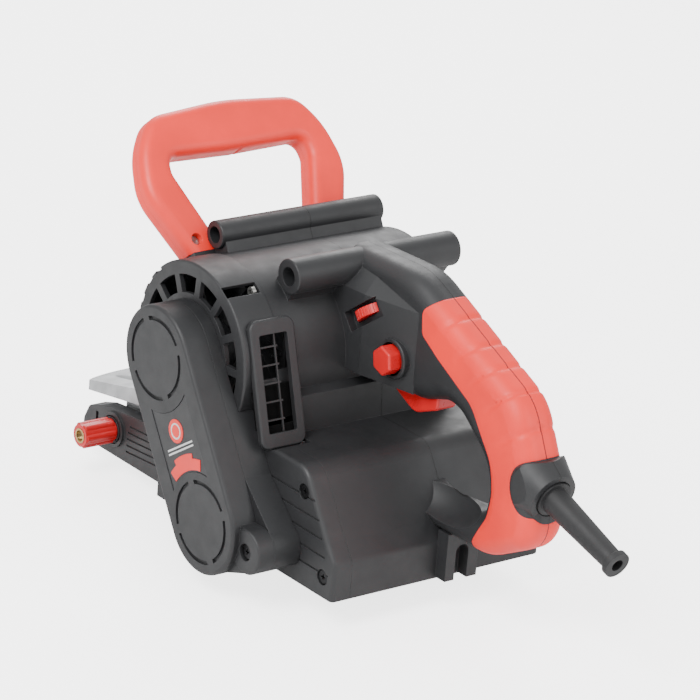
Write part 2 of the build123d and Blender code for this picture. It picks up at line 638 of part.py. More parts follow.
# ---- front handle -------------------------------------------------------------------------
D_LEAN = 38.8
D_FRAME = Pos(-22.8, 113.5, 175.6) * Rot(-D_LEAN, 0, 0)
D_HALF = 11.0
D_OUTER = ((66, -6), (85.3, 41), (78, 73), (62, 95.5), (0, 100.5))
D_OUTER_RADII = (40, 60, 24, 200)
D_INNER = ((38, -6), (58.3, 52), (57, 64.5), (0, 63))
D_INNER_RADII = (12, 8)
D_FOOT_X = 52.0                 # middle of each foot
D_SCREW_X = 59.0


def d_sketch():
    """Front view of the D-shaped handle in its own leaning plane."""
    loop = []
    for points, radii in ((D_OUTER, D_OUTER_RADII), (D_INNER, D_INNER_RADII)):
        mirrored = [(-x, t) for x, t in points[::-1] if x]
        face = Polygon(*points, *mirrored, align=None)
        for (x, t), radius in zip(points[1:], radii):
            for corner_x in {x, -x}:
                corner = face.vertices().sort_by_distance(Vector(corner_x, t, 0))[0]
                face = fillet(corner, radius)
        loop.append(face)
    return loop[0] - loop[1]


def d_loop(inset=0.0):
    face = offset(d_sketch(), -inset) if inset else d_sketch()
    depth = D_HALF - inset
    loop = Rot(90, 0, 0) * extrude(face, amount=depth, both=True)
    rim = loop.edges().filter_by(lambda e: abs(abs(e.center().Y) - depth) < 0.01 and e.center().Z > -5 + inset)
    return fillet(rim, 7.0 - 1.5 * inset)


def across_d(x, radius, n0, n1):
    """Cylinder through the D-handle's foot, from front (+) to rear (-)."""
    return Pos(x, (n0 + n1) / 2, 3) * Rot(90, 0, 0) * Cylinder(radius, n1 - n0)


def d_handle(front):
    """Front or rear shell of the D-handle, in place on the barrel."""
    side = block(-100, 100, 0.03, 30, -20, 120) if front else block(-100, 100, -30, -0.03, -20, 120)
    shell = (d_loop() - d_loop(3.0)) & side
    for x in (-D_SCREW_X, D_SCREW_X):
        if front:
            shell += across_d(x, 5.5, 0.03, 8.5)
            shell -= across_d(x, 1.95, 0, 7.5)
        else:
            shell += across_d(x, 5.6, -9.3, -0.03)
            shell -= across_d(x, 4.2, -14.0, -4.5) + across_d(x, 2.1, -5, 1)
    for x in (-9, 14.4):
        shell -= Pos(x, 0, 99.6) * Box(1.6, 30, 2.4)
    shell -= Pos(4, 0, 63) * Rot(0, 45, 0) * Box(2.6, 30, 2.6)
    return D_FRAME * shell


def d_handle_screws():
    screws = Part()
    for x in (-D_SCREW_X, D_SCREW_X):
        screw = across_d(x, 3.8, -6.6, -4.6) + across_d(x, 1.9, -4.6, 6.5)
        screws += screw - Pos(x, -6.6, 3) * Box(4.6, 1.4, 1.1)
    return D_FRAME * screws


def handle_bracket():
    """Two foot sockets joined by a strap, saddled on the barrel."""
    bracket = Part()
    for x in (-D_FOOT_X, D_FOOT_X):
        bracket += Pos(x, 0, -11.1) * Box(26, 22, 10)
    bracket += Pos(0, 2, -12) * Box(2 * D_FOOT_X, 10, 8)
    bracket = D_FRAME * bracket
    bracket -= cyl(BARREL_R + GAP, X_SHIELD1 - GAP, 100, MOTOR_Y, MOTOR_Z)
    bracket -= cyl(SHIELD_R + GAP, -120, X_SHIELD1, MOTOR_Y, MOTOR_Z)
    y, z, outer, _, x0, x1 = TUBES[0]
    return bracket - cyl(outer + GAP, x0 - 1, x1 + 1, y, z) - front_web(GAP)


def front_web(grow):
    """The front tube's web, grown to give the bracket clearance."""
    y, z, outer, _, x0, x1 = TUBES[0]
    angle = math.degrees(math.atan2(z - MOTOR_Z, y - MOTOR_Y))
    web = Rot(angle, 0, 0) * Pos(0, 66, 0) * Box(x1 - x0 - 5 + 2 * grow, 20, outer * 1.5 + 2 * grow)
    return Pos((x0 + x1) / 2, MOTOR_Y, MOTOR_Z) * web


# ---- dust outlet --------------------------------------------------------------------------
PORT_LEAN = 17.2
DUCT_X = -90.7                  # middle of the outlet and its duct
PORT_FRAME = Pos(DUCT_X, -6.4, 121.65) * Rot(-PORT_LEAN, 0, 0)
PORT_W, PORT_H, PORT_T = 36.5, 86.4, 4.5
DUCT_HALF = 16.2                # half width of the duct
DUCT_DEPTH = 9.0                # depth of the duct's floor below the outlet's outer face


def port_plate(width, height, radius, y0, y1):
    """Rounded plate in the outlet's leaning plane; y grows into the tool."""
    face = Rot(90, 0, 0) * extrude(RectangleRounded(width, height, radius), amount=-(y1 - y0))
    return Pos(0, y0, 0) * face


def dust_port():
    plate = port_plate(PORT_W, PORT_H, 7, 0, PORT_T)
    plate = fillet(plate.faces().sort_by(Axis.Y)[0].edges(), 1.4)
    plate -= port_plate(23, 66, 1.5, -1, PORT_T + 1)
    return PORT_FRAME * (plate - port_plate(27, 70, 1.5, 2.9, PORT_T + 1))


def dust_grille():
    """Thin ribs from the outlet's left edge to an upright rib; the right side stays open."""
    grille = port_plate(26.8, 69.8, 1.4, 3.0, 4.4) - block(-11.7, 11.7, 2, 6, -33.2, 33.2)
    for i in range(5):
        z = 12.2 * (i - 2)
        grille += block(-12, 4.6, 3.0, 4.4, z - 0.6, z + 0.6)
    grille += block(2.0, 3.2, 3.0, 4.4, -34, 34)
    return PORT_FRAME * grille


def duct_shape():
    """Flat channel behind the outlet that widens downwards to the guard's top."""
    channel = PORT_FRAME * block(-DUCT_HALF, DUCT_HALF, PORT_T + GAP, DUCT_DEPTH, -30, 36)
    foot = outline(((-13.7, 82.1), (-6.3, 106), (20, 120), (16, 82.1)))
    foot = prism(foot, X_PANEL + 0.2, DUCT_X + DUCT_HALF)
    return channel + foot - cyl(SHIELD_R + GAP, -130, 0, MOTOR_Y, MOTOR_Z) - block(-130, 0, -60, 60, 40, 82.1)


def dust_recess():
    """Room that the outlet and its duct take out of the neighbouring shells."""
    plate = block(-PORT_W / 2 - GAP, PORT_W / 2 + GAP, -4, PORT_T + GAP, -PORT_H / 2 - GAP, PORT_H / 2 + GAP)
    half_width = DUCT_HALF + GAP
    plate += block(-half_width, half_width, 0, DUCT_DEPTH + GAP, -36 - GAP, 36 + GAP)
    return PORT_FRAME * plate


def dust_duct():
    duct = duct_shape()
    duct -= PORT_FRAME * block(-13.8, 13.8, 0, DUCT_DEPTH - 1.8, -28, 34)
    throat = outline(((-9.5, 70), (-9.5, 92), (4, 112), (11, 92), (11, 70)))
    duct -= prism(throat, X_PANEL + 2.2, DUCT_X + 13.8) - cyl(SHIELD_R + 2, -130, 0, MOTOR_Y, MOTOR_Z)
    return duct


# ---- nose and sole frame ------------------------------------------------------------------
def nose_plan():
    """Plan outline of the casting: straight sides and a bowed front edge."""
    edge = ThreePointArc((NOSE_X1, 243), ((NOSE_X0 + NOSE_X1) / 2, 262), (NOSE_X0, 243))
    sides = Polyline((NOSE_X0, 243), (NOSE_X0, 108.2), (NOSE_X1, 108.2), (NOSE_X1, 243))
    return make_face(edge + sides)


def nose_casting():
    """Cast shoe: a sloping plate with a raised neck that bolts to the guard's front."""
    plate = outline(((108, 62), (180, 46.5), (246, 31), (262, 26), (262, 21), (180, 34.5), (108, 48)))
    body = prism(plate, NOSE_X0, NOSE_X1)
    neck = outline(((108, 44), (108, 79), (140, 78), (172, 68), (206, 44), (240, 33), (250, 24), (180, 30)),
                   ((2, 20), (3, 25), (4, 25), (5, 15)))
    centre = prism(neck, NOSE_X0 + 16, NOSE_X1 - 16)
    centre = fillet(centre.edges().filter_by(lambda e: e.center().Z > 50 and abs(e.center().X + 13) > 35
                                             and e.center().Y > 112), 6)
    body += centre
    body &= extrude(nose_plan(), amount=200)
    cavity = outline(((106, 30), (106, 72), (140, 71), (168, 61), (200, 38), (180, 20)))
    body -= prism(cavity, NOSE_X0 + 22, NOSE_X1 - 22)
    for x0 in (NOSE_X0 + 8, NOSE_X1 - 16):
        lug = cyl(9, x0, x0 + 8, HINGE_Y, HINGE_Z) + block(x0, x0 + 8, HINGE_Y - 9, HINGE_Y + 9, HINGE_Z, 34)
        body += lug
    return body - cyl(4.0, -100, 100, HINGE_Y, HINGE_Z)


def arm(x0, x1):
    """Side arm of the sole frame: deep at the front, a low rail beside the discs."""
    points = (
        (-78, SOLE_Z), (232, SOLE_Z), (236, 6), (229, 19), (212, 24.6), (172, 29), (124, 32),
        (104, 3.5), (-78, 3.5),
    )
    return prism(outline(points, ((1, 7), (2, 9), (3, 6), (6, 12), (7, 8))), x0, x1)


def sole_frame():
    frame = arm(ARM_L0, ARM_L1) + arm(ARM_R0, ARM_R1)
    frame += block(ARM_L1 - 1, ARM_R0 + 1, -78, 186, SOLE_Z, SOLE_Z + 3)
    frame -= block(LEFT_DISC_X - 6, RIGHT_DISC_X + DISC_T + 10, -56, 56, -20, 20)
    for y in ROLLER_YS:
        frame -= block(-62, 36, y - 11, y + 11, -20, 20)
        frame += cyl(7, ARM_L1 - 1, -62.5, y, ROLLER_Z) + cyl(7, 36.5, ARM_R0 + 1, y, ROLLER_Z)
        frame -= cyl(ROLLER_AXLE_R, ARM_L0 + 2, ARM_R1 - 2, y, ROLLER_Z)
    frame += cyl(13, ARM_L0 - 2, ARM_L0 + 1, HINGE_Y, HINGE_Z)
    frame -= cyl(10.5, ARM_L0 - 3, ARM_L0, HINGE_Y, HINGE_Z)
    frame -= cyl(4.0 + RUN, -100, 100, HINGE_Y, HINGE_Z)
    for i in range(5):
        groove = Pos(ARM_L0, 136, 23.5 - 4.9 * i) * Rot(-4.5, 0, 0) * Box(2.0, 84 + 4 * i, 1.3)
        frame -= groove & block(-80, -60, 116, 181, -20, 40)
    return frame - Pos(ARM_L0, 219, 14) * Box(6, 3, 7)


def roller(y):
    body = ring(9, ROLLER_AXLE_R + RUN, -61.5, 35.5, y, ROLLER_Z)
    return chamfer(body.edges().filter_by(GeomType.CIRCLE).sort_by(SortBy.RADIUS)[-2:], 1.0)


def roller_axles():
    return cyl(ROLLER_AXLE_R, ARM_L0 + 2, ARM_R1 - 2, ROLLER_YS[0], ROLLER_Z) + cyl(
        ROLLER_AXLE_R, ARM_L0 + 2, ARM_R1 - 2, ROLLER_YS[1], ROLLER_Z)


def hinge_bolt():
    bolt = cyl(4.0, -103, ARM_R1 + 2, HINGE_Y, HINGE_Z)
    head = Plane.YZ.offset(ARM_R1 + 0.5) * (Pos(HINGE_Y, HINGE_Z) * RegularPolygon(7.5, 6))
    return bolt + extrude(head, amount=5)


def knob_washer():
    return ring(9.5, 4.0, ARM_L0 - 2.4, ARM_L0 - 0.1, HINGE_Y, HINGE_Z)


def depth_knob():
    """Lobed clamping knob on the hinge bolt's left end."""
    grip = cyl(8.2, -106, -79.6, HINGE_Y, HINGE_Z)
    for i in range(6):
        lobe_y = HINGE_Y + 6.6 * math.cos(math.radians(60 * i))
        lobe_z = HINGE_Z + 6.6 * math.sin(math.radians(60 * i))
        grip += cyl(2.9, -105, -81, lobe_y, lobe_z)
    return grip - cyl(5.5, -107, -79, HINGE_Y, HINGE_Z)


def knob_insert():
    return ring(5.45, 4.0 + RUN, -106.4, -79.7, HINGE_Y, HINGE_Z)


# ---- handle internals ---------------------------------------------------------------------
def switch_module():
    body = block(-9, 9, -98, -46, 140, 158)
    return body + block(-4, 4, -66, -54, 136, 140)


def speed_controller():
    board = block(-10, 10, -40, -30.5, 150, 176)
    return board + block(-6, 6, -30.5, -27, 158, 170)


def dial_pin():
    return dial_frame() * Cylinder(2.0, 12.5)


def cable_clamp():
    """Bar that presses the supply cord against the handle's shell."""
    bar = block(-10, 10, -165, -155, 89.5, 93.8)
    for x in (-7.5, 7.5):
        bar += Pos(x, -160, 95) * Cylinder(2.3, 3)
    return bar


def cable_sleeve():
    """Anti-kink sleeve for the supply cord."""
    sleeve = along_cable(8.1, 8.1, -14, BOSS_END - 1.9)
    sleeve += along_cable(12.8, 12.8, BOSS_END - 1.9, BOSS_END + 1.5)
    sleeve += along_cable(9.6, 7.2, BOSS_END + 1.5, 69)
    sleeve += along_cable(9.4, 9.4, 68.5, 72.5)
    return sleeve - along_cable(CABLE_BORE_R, CABLE_BORE_R, -30, 80)


def both_brushes(index):
    return lambda: brush_parts()[index]


def grip_half(side):
    return half(soft_grip(handle_body(), handle_body(SKIN - 0.02)), side)


NODES = {
    "belt_cover": belt_cover,
    "badge_plate": badge_plate,
    "belt_housing": belt_housing,
    "drive_belt": belt_run,
    "end_shield": end_shield,
    "shield_screw": shield_screw,
    "left_housing": lambda: housing(-1),
    "right_housing": lambda: housing(1),
    "housing_bolts": housing_bolts,
    "left_guard_panel": left_guard_panel,
    "right_guard_cover": right_guard_cover,
    "cover_screws": cover_screws,
    "left_soft_grip": lambda: grip_half(-1),
    "right_soft_grip": lambda: grip_half(1),
    "d_handle_front_shell": lambda: d_handle(True),
    "d_handle_rear_shell": lambda: d_handle(False),
    "d_handle_screws": d_handle_screws,
    "handle_bracket": handle_bracket,
    "dust_port": dust_port,
    "dust_grille": dust_grille,
    "dust_duct": dust_duct,
    "nose_casting": nose_casting,
    "hinge_bolt": hinge_bolt,
    "knob_washer": knob_washer,
    "stator_core": stator_core,
    "stator_windings": stator_windings,
    "brush_holders": both_brushes(0),
    "carbon_brushes": both_brushes(1),
    "brush_springs": both_brushes(2),
    "left_motor_bearing": lambda: bearing(-101, MOTOR_Y, MOTOR_Z),
    "right_motor_bearing": lambda: bearing(42.5, MOTOR_Y, MOTOR_Z),
    "left_spindle_bearing": lambda: bearing(-113.8, 0, SPIN_Z),
    "right_spindle_bearing": lambda: bearing(-73, 0, SPIN_Z),
    "bearing_block": bearing_block,
    "switch_module": switch_module,
    "speed_controller": speed_controller,
    "dial_pin": dial_pin,
    "cable_clamp": cable_clamp,
    "cable_sleeve": cable_sleeve,
    "armature_shaft": armature_shaft,
    "armature_core": armature_core,
    "commutator": commutator,
    "cooling_fan": cooling_fan,
    "motor_pulley": lambda: pulley(MOTOR_PULLEY_R, MOTOR_Y, MOTOR_Z),
    "spindle_shaft": spindle_shaft,
    "spindle_pulley": lambda: pulley(SPINDLE_PULLEY_R, 0, SPIN_Z),
    "left_disc": lambda: disc(LEFT_DISC_X),
    "right_disc": lambda: disc(RIGHT_DISC_X),
    "spacer_rings": spacer_rings,
    "clamp_nut": clamp_nut,
    "sole_frame": sole_frame,
    "roller_axles": roller_axles,
    "front_roller": lambda: roller(ROLLER_YS[0]),
    "rear_roller": lambda: roller(ROLLER_YS[1]),
    "depth_knob": depth_knob,
    "knob_insert": knob_insert,
    "trigger": trigger,
    "lock_button": lock_button,
    "speed_dial": speed_dial,
}

if __name__ == "__main__":
    for name, make in NODES.items():
        export_step(Pos(*(-value for value in ORIGIN)) * make(), f"parts/{name}.step")
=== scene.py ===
import json
import math

import bmesh
import bpy
from mathutils import Matrix, Vector


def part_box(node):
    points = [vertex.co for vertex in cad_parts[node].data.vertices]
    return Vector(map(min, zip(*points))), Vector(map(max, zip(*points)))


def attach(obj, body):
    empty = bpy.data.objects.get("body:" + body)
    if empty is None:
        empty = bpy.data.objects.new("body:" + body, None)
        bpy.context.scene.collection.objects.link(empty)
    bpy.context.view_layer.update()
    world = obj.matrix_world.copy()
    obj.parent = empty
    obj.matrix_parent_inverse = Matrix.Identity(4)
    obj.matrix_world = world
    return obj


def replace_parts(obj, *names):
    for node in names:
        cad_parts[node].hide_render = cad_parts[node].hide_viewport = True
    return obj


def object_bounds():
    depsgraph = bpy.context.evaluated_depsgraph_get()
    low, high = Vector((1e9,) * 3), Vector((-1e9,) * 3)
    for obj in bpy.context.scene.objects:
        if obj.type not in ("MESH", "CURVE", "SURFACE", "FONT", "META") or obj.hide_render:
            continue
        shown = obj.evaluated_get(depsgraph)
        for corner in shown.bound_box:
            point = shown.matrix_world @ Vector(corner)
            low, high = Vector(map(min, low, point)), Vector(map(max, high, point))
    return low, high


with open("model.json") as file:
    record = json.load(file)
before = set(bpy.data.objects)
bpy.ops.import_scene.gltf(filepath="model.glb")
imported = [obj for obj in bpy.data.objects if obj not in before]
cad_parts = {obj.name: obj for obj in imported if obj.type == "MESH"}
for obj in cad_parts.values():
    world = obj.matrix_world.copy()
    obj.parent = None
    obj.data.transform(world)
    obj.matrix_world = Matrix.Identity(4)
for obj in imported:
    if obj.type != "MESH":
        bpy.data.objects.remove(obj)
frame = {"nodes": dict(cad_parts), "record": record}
CAD_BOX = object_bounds()
MM = 0.001


# ---- materials ----------------------------------------------------------------------------
class Graph:
    """Short-hand for building one material's node tree."""

    def __init__(self, name):
        self.material = bpy.data.materials.new(name)
        self.material.use_nodes = True
        self.tree = self.material.node_tree
        self.shader = self.tree.nodes["Principled BSDF"]
        self.coordinates = self.tree.nodes.new("ShaderNodeTexCoord").outputs["Object"]

    def link(self, source, target):
        self.tree.links.new(source, target)

    def noise(self, scale, detail=3.0, roughness=0.5, stretch=(1, 1, 1)):
        mapping = self.tree.nodes.new("ShaderNodeMapping")
        mapping.inputs["Scale"].default_value = stretch
        self.link(self.coordinates, mapping.inputs["Vector"])
        node = self.tree.nodes.new("ShaderNodeTexNoise")
        node.inputs["Scale"].default_value = scale
        node.inputs["Detail"].default_value = detail
        node.inputs["Roughness"].default_value = roughness
        self.link(mapping.outputs["Vector"], node.inputs["Vector"])
        return node.outputs["Fac"]

    def cells(self, scale):
        node = self.tree.nodes.new("ShaderNodeTexVoronoi")
        node.inputs["Scale"].default_value = scale
        self.link(self.coordinates, node.inputs["Vector"])
        return node.outputs["Distance"]

    def ramp(self, factor, low, high, start=0.3, end=0.7):
        node = self.tree.nodes.new("ShaderNodeMapRange")
        node.inputs["From Min"].default_value = start
        node.inputs["From Max"].default_value = end
        node.inputs["To Min"].default_value = low
        node.inputs["To Max"].default_value = high
        self.link(factor, node.inputs["Value"])
        return node.outputs["Result"]

    def mix(self, factor, colour_a, colour_b):
        node = self.tree.nodes.new("ShaderNodeMix")
        node.data_type = "RGBA"
        for socket, value in ((node.inputs[6], colour_a), (node.inputs[7], colour_b)):
            if isinstance(value, bpy.types.NodeSocket):
                self.link(value, socket)
            else:
                socket.default_value = (*value, 1)
        self.link(factor, node.inputs[0])
        return node.outputs[2]

    def math(self, operation, a, b):
        node = self.tree.nodes.new("ShaderNodeMath")
        node.operation = operation
        for socket, value in zip(node.inputs, (a, b)):
            if isinstance(value, bpy.types.NodeSocket):
                self.link(value, socket)
            else:
                socket.default_value = value
        return node.outputs[0]

    def edge_mask(self, radius, gain):
        """Rounded normal, and a mask that is 1 on edges and 0 on flats, for the painted edge highlight and
        edge wear.
        """
        bevel = self.tree.nodes.new("ShaderNodeBevel")
        bevel.samples = 4
        bevel.inputs["Radius"].default_value = radius
        geometry = self.tree.nodes.new("ShaderNodeNewGeometry")
        dot = self.tree.nodes.new("ShaderNodeVectorMath")
        dot.operation = "DOT_PRODUCT"
        self.link(bevel.outputs["Normal"], dot.inputs[0])
        self.link(geometry.outputs["Normal"], dot.inputs[1])
        mask = self.ramp(dot.outputs["Value"], gain, 0.0, 0.75, 0.995)
        return bevel.outputs["Normal"], mask

    def seam_mask(self):
        """1 along the joint between the left and right mouldings, at X = 0."""
        split = self.tree.nodes.new("ShaderNodeSeparateXYZ")
        self.link(self.coordinates, split.inputs[0])
        return self.ramp(self.math("ABSOLUTE", split.outputs["X"], 0.0), 1.0, 0.0, 0.00022, 0.0005)

    def bump(self, height, strength, distance, normal=None):
        node = self.tree.nodes.new("ShaderNodeBump")
        node.inputs["Strength"].default_value = strength
        node.inputs["Distance"].default_value = distance
        self.link(height, node.inputs["Height"])
        if normal is not None:
            self.link(normal, node.inputs["Normal"])
        return node.outputs["Normal"]

    def set(self, name, value):
        socket = self.shader.inputs[name]
        if isinstance(value, bpy.types.NodeSocket):
            self.link(value, socket)
        elif isinstance(value, tuple):
            socket.default_value = (*value, 1)
        else:
            socket.default_value = value


def moulded(name, colour, roughness=0.45, grain=1400, depth=0.00006, highlight_and_wear=0.25,
            round_edge=0.0006, seam=False, sheen=0.5):
    """Injection-moulded plastic or rubber with a spark-eroded grain; seam darkens the mould halves' joint."""
    g = Graph(name)
    normal, highlight_and_wear_mask = g.edge_mask(round_edge, highlight_and_wear)
    # Edges are painted lighter: a painted highlight on the rounded edges, partly edge wear.
    highlight_and_wear_colour = tuple(min(1.0, c * 1.5 + 0.02) for c in colour)
    darker = tuple(c * 0.86 for c in colour)
    tone = g.mix(g.ramp(g.noise(22, 4), 0, 1, 0.35, 0.65), darker, colour)
    tone = g.mix(highlight_and_wear_mask, tone, highlight_and_wear_colour)
    if seam:
        tone = g.mix(g.seam_mask(), tone, tuple(c * 0.12 for c in colour))
    g.set("Base Color", tone)
    g.set("Specular IOR Level", sheen)
    g.set("Roughness", g.ramp(g.noise(90, 4), roughness - 0.05, roughness + 0.07))
    fine = g.math("ADD", g.noise(grain, 2), g.math("MULTIPLY", g.cells(grain * 0.9), 0.5))
    normal = g.bump(fine, 0.35, depth, normal)
    g.set("Normal", g.bump(g.noise(45, 2), 0.10, 0.0004, normal))
    return g.material


def metal(name, colour, roughness=0.32, grain=260, stretch=(1, 1, 1), depth=0.00003, highlight_and_wear=0.3):
    """Machined, ground or cast metal; stretch gives the grinding direction."""
    g = Graph(name)
    normal, highlight_and_wear_mask = g.edge_mask(0.0004, highlight_and_wear)
    # Edges are painted lighter: a painted highlight on the rounded edges, partly edge wear.
    highlight_and_wear_colour = tuple(min(1.0, c * 1.3) for c in colour)
    darker = tuple(c * 0.7 for c in colour)
    tone = g.mix(g.ramp(g.noise(60, 5), 0, 1), darker, colour)
    g.set("Base Color", g.mix(highlight_and_wear_mask, tone, highlight_and_wear_colour))
    g.set("Metallic", 1.0)
    lines = g.noise(grain, 4, 0.6, stretch)
    g.set("Roughness", g.ramp(lines, roughness - 0.07, roughness + 0.12))
    g.set("Normal", g.bump(lines, 0.35, depth, normal))
    return g.material


MATERIALS = {
    "black_plastic": moulded("charcoal_plastic", (0.017, 0.0175, 0.019), 0.5),
    "black_duct": moulded("duct_plastic", (0.003, 0.003, 0.003), 0.85, sheen=0.1),
    "black_screw": metal("black_oxide", (0.035, 0.035, 0.037), 0.35, 400),
    "red_handle": moulded("coral_plastic", (0.95, 0.030, 0.016), 0.42, 900, 0.00002, 0.12, 0.0009),
    "red_grip": moulded("coral_rubber", (0.95, 0.028, 0.015), 0.5, 1100, 0.00003, 0.12, 0.0009, True),
    "red_button": moulded("button_plastic", (0.62, 0.012, 0.014), 0.3, 900, 0.00001, 0.2, 0.0006),
    "grey_badge": moulded("badge_plate_finish", (0.017, 0.0175, 0.019), 0.42),
    "cast_aluminium": metal("cast_aluminium_finish", (0.56, 0.57, 0.58), 0.5, 900, (1, 1, 1), 0.0001),
    "bare_steel": metal("ground_steel", (0.5, 0.5, 0.5), 0.3, 300, (8, 1, 1)),
    "dark_steel": moulded("powder_coat", (0.02, 0.0205, 0.022), 0.46, 700, 0.00008, 0.4),
    "zinc_screw": metal("zinc_plate", (0.42, 0.42, 0.4), 0.35, 400),
    "copper": metal("enamelled_copper", (0.6, 0.22, 0.09), 0.3, 500, (6, 1, 1)),
    "brass": metal("turned_brass", (0.66, 0.46, 0.2), 0.25, 600, (10, 1, 1)),
    "carbon": moulded("pressed_carbon", (0.02, 0.02, 0.02), 0.6, 800),
    "disc_steel": metal("disc_steel_finish", (0.38, 0.39, 0.4), 0.38, 260, (1, 1, 1)),
    "black_rubber": moulded("black_rubber_finish", (0.012, 0.012, 0.013), 0.55, 800, 0.00005, 0.15),
    "silicon_steel": metal("laminated_steel", (0.22, 0.22, 0.23), 0.4, 600, (30, 1, 1)),
    "pcb": moulded("potting_compound", (0.015, 0.05, 0.025), 0.4, 600),
}
HOUSING = moulded("charcoal_housing", (0.017, 0.0175, 0.019), 0.5, seam=True)
DECAL_RED = moulded("decal_red", (0.85, 0.025, 0.014), 0.4, 900, 0.00001, 0.1, 0.0002)
DECAL_PALE = moulded("decal_pale", (0.62, 0.62, 0.62), 0.4, 900, 0.00001, 0.1, 0.0002)


def dress_frame():
    """A material on every CAD node, from its slot in the record."""
    slots = {entry["node"]: entry["material_slot"] for entry in frame["record"]["subparts"]}
    for name, obj in frame["nodes"].items():
        obj.data.materials.clear()
        split = name in ("left_housing", "right_housing")
        obj.data.materials.append(HOUSING if split else MATERIALS[slots[name]])


# ---- pieces -------------------------------------------------------------------------------
JOINTS = {joint["name"]: joint for joint in frame["record"]["behaviour"]["joints"]}
SPINDLE = Vector(JOINTS["spindle_spin"]["pos_m"])
MOTOR = Vector(JOINTS["motor_spin"]["pos_m"])
SPINDLE_HEIGHT = 28.6       # mm, from the guard's rim up to the spindle's axis
DATUM = SPINDLE - Vector((0, 0, SPINDLE_HEIGHT * MM))


def make_piece(name, shape, material, body, smooth_angle=35):
    """A finished mesh object from a bmesh, riding on a CAD body."""
    bmesh.ops.recalc_face_normals(shape, faces=shape.faces)
    mesh = bpy.data.meshes.new(name)
    shape.to_mesh(mesh)
    shape.free()
    for polygon in mesh.polygons:
        polygon.use_smooth = True
    mesh.set_sharp_from_angle(angle=math.radians(smooth_angle))
    mesh.materials.append(material)
    obj = bpy.data.objects.new(name, mesh)
    bpy.context.collection.objects.link(obj)
    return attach(obj, body)


# ---- soft grips ---------------------------------------------------------------------------
# The handle's middle line and the creases, as (Y, Z) in mm from the datum.
HANDLE_LINE = (
    (-60, 160), (-80, 158), (-112, 146), (-142, 124),
    (-160, 100), (-166, 78), (-150, 52), (-120, 45),
)
CREASES = (
    ((-92, 186), (-80, 171)), ((-118, 176), (-95, 156)), ((-138, 168), (-111, 143)),
    ((-158, 157), (-129, 131)), ((-178, 138), (-141, 112)),
)
CREASE_DEPTH, CREASE_WIDTH = 1.0, 1.7       # mm
CREASE_FADE = 0.45                          # share of a crease over which its inner end fades out
SKIN_FACING = 0.35                          # how far a vertex must face outwards to be on the outer skin
GRIP_CUTS = ((1, 1.5), (2, 1.5), (0, 2.5))  # (axis, spacing in mm) of the cuts that refine the grip


def nearest_on(points, y, z):
    """Nearest point (Y, Z) on a line through points, with its distance and its share of that segment."""
    best = None
    for (y0, z0), (y1, z1) in zip(points, points[1:]):
        dy, dz = y1 - y0, z1 - z0
        share = max(0.0, min(1.0, ((y - y0) * dy + (z - z0) * dz) / (dy * dy + dz * dz)))
        ny, nz = y0 + share * dy, z0 + share * dz
        distance = math.hypot(y - ny, z - nz)
        if best is None or distance < best[2]:
            best = (ny, nz, distance, share)
    return best


def crease_depth(y, z):
    """How far the grip's outer skin is pressed in at (Y, Z), in mm."""
    depth = 0.0
    for crease in CREASES:
        _, _, distance, share = nearest_on(crease, y, z)
        fade = min(1.0, (1.0 - share) / CREASE_FADE)
        depth = max(depth, CREASE_DEPTH * fade * math.exp(-((distance / CREASE_WIDTH) ** 2)))
    return depth


def creased_grip(node):
    """One half of the soft grip, with creases pressed into its outer skin."""
    shape = bmesh.new()
    shape.from_mesh(frame["nodes"][node].data)
    bmesh.ops.remove_doubles(shape, verts=shape.verts, dist=0.002 * MM)
    low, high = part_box(node)
    for axis, spacing in GRIP_CUTS:
        step = spacing * MM * 1.0
        normal = Vector((axis == 0, axis == 1, axis == 2))
        position = low[axis] + step
        while position < high[axis]:
            cut = normal * position
            geometry = shape.verts[:] + shape.edges[:] + shape.faces[:]
            bmesh.ops.bisect_plane(shape, geom=geometry, plane_co=cut, plane_no=normal, dist=0.0001 * MM)
            position += step
    shape.normal_update()
    moves = []
    for vertex in shape.verts:
        at = (vertex.co - DATUM) / MM
        y, z, _, _ = nearest_on(HANDLE_LINE, at.y, at.z)
        outward = Vector((at.x, at.y - y, at.z - z)).normalized().dot(vertex.normal)
        if outward > SKIN_FACING:
            moves.append((vertex, vertex.normal * (-crease_depth(at.y, at.z) * MM)))
    for vertex, move in moves:
        vertex.co += move
    piece = make_piece(node.replace("soft_grip", "creased_grip"), shape, MATERIALS["red_grip"], "main_body")
    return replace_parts(piece, node)


# ---- badge --------------------------------------------------------------------------------
ALONG = (MOTOR - SPINDLE).normalized()
ACROSS = Vector((1, 0, 0)).cross(ALONG)


def arc(radius, start, end, count=40):
    """Points (along, across) on an arc about the spindle's end of the badge, in mm."""
    angles = (math.radians(start + (end - start) * i / count) for i in range(count + 1))
    return [(radius * math.cos(a), radius * math.sin(a)) for a in angles]


DECAL_BEVEL = 0.1           # mm


def decal(name, outlines, material, height=0.35):
    """Thin raised plates on the badge; each outline is a list of (along, across) points in mm."""
    face_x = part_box("badge_plate")[0][0]
    shape = bmesh.new()
    for points in outlines:
        base = Vector((face_x, SPINDLE.y, SPINDLE.z))
        verts = [shape.verts.new(base + (ALONG * s + ACROSS * w) * MM) for s, w in points]
        shape.faces.new(verts)
    extruded = bmesh.ops.extrude_face_region(shape, geom=shape.faces[:])
    moved = [item for item in extruded["geom"] if isinstance(item, bmesh.types.BMVert)]
    bmesh.ops.translate(shape, verts=moved, vec=Vector((-height * MM, 0, 0)))
    raised = set(moved)
    rim = [e for e in shape.edges if all(v in raised for v in e.verts)]
    bmesh.ops.bevel(shape, geom=rim, offset=DECAL_BEVEL * MM, segments=2, affect="EDGES")
    piece = make_piece(name, shape, material, "main_body")
    return piece


